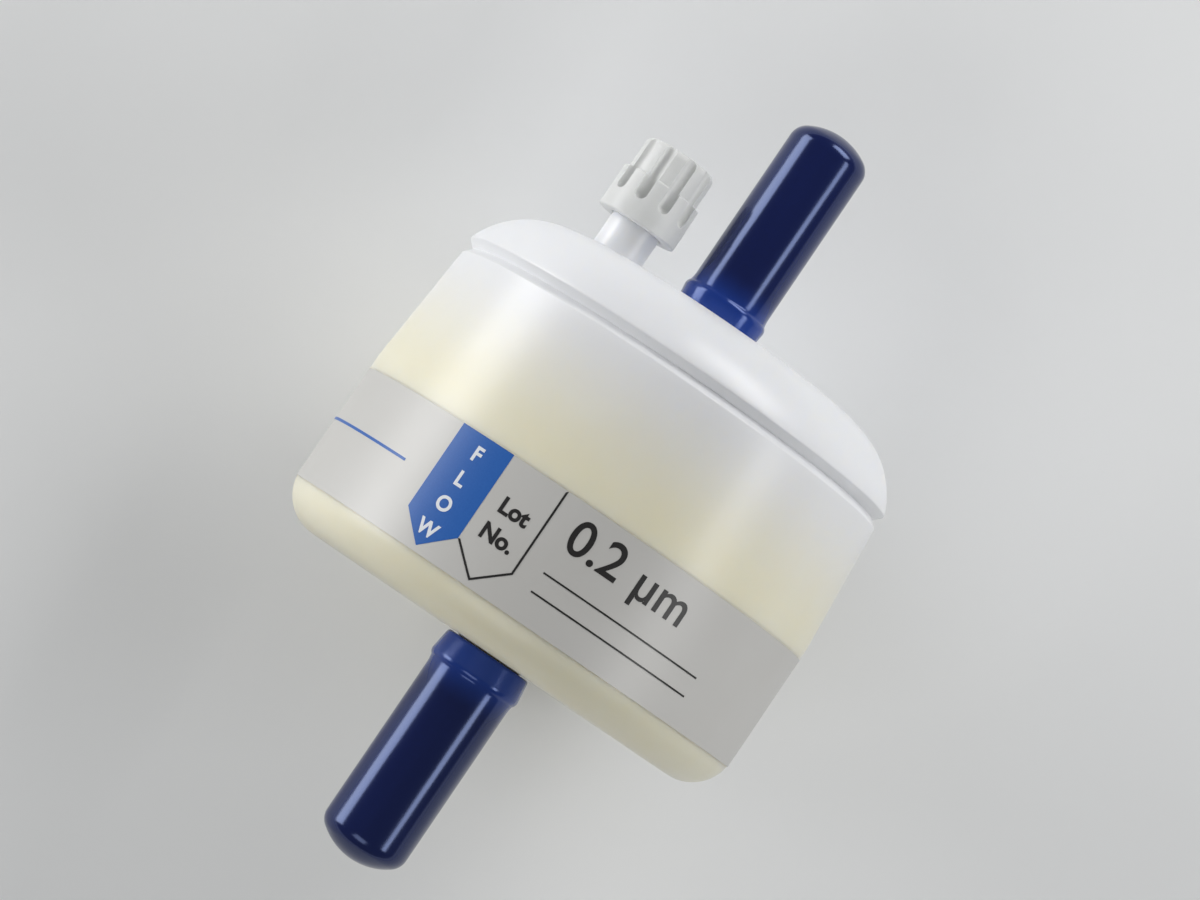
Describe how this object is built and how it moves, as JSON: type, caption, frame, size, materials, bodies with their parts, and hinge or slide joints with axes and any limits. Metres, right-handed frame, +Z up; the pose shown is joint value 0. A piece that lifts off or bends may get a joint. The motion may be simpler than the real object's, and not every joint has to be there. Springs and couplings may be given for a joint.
{
  "type": "capsule filter",
  "caption": "Capsule filter: a domed, welded plastic housing around a pleated membrane element, with barbed hose ports under soft pull-off caps and a fluted screw vent.",
  "frame": {"origin": "point of the surface that it lies on, under the middle of its overall length", "axes": "+X along the capsule's axis towards the inlet, +Y towards the vent's side, +Z up through the label's front"},
  "size_m": [0.1208, 0.072, 0.0719],
  "materials": {
    "housing": "moulded, milky, satin",
    "element_plastic": "moulded, satin",
    "fleece": "spun-bonded fleece",
    "membrane": "matt cast membrane",
    "label": "smooth printed film",
    "vent_cap": "moulded, satin",
    "seal": "silicone, satin",
    "port_cap": "dipped soft vinyl, glossy"
  },
  "bodies": {
    "housing": {"bowl": "housing", "head": "housing", "lower_end_plate": "element_plastic", "core": "element_plastic", "downstream_fleece": "fleece", "membrane": "membrane", "upstream_fleece": "fleece", "cage": "element_plastic", "upper_end_plate": "element_plastic", "label": "label"},
    "vent_seal": {"vent_seal": "seal"},
    "vent_cap": {"vent_cap": "vent_cap"},
    "inlet_cap": {"inlet_cap": "port_cap"},
    "outlet_cap": {"outlet_cap": "port_cap"}
  },
  "joints": [
    {"name": "vent_lift", "type": "slide", "parent": "housing", "child": "vent_seal", "axis": [1, 0, 0], "range_m": [0, 0.004]},
    {"name": "vent_turn", "type": "hinge", "parent": "vent_seal", "child": "vent_cap", "pos_m": [0.0397, 0.0165, 0.03591], "axis": [1, 0, 0], "range_deg": [0, 720]},
    {"name": "inlet_cap_pull", "type": "slide", "parent": "housing", "child": "inlet_cap", "axis": [1, 0, 0], "range_m": [0, 0.06]},
    {"name": "outlet_cap_pull", "type": "slide", "parent": "housing", "child": "outlet_cap", "axis": [-1, 0, 0], "range_m": [0, 0.06]}
  ],
  "couplings": [
    {"joint": "vent_turn", "follows": "vent_lift", "rad_per_m": 3141.6}
  ]
}
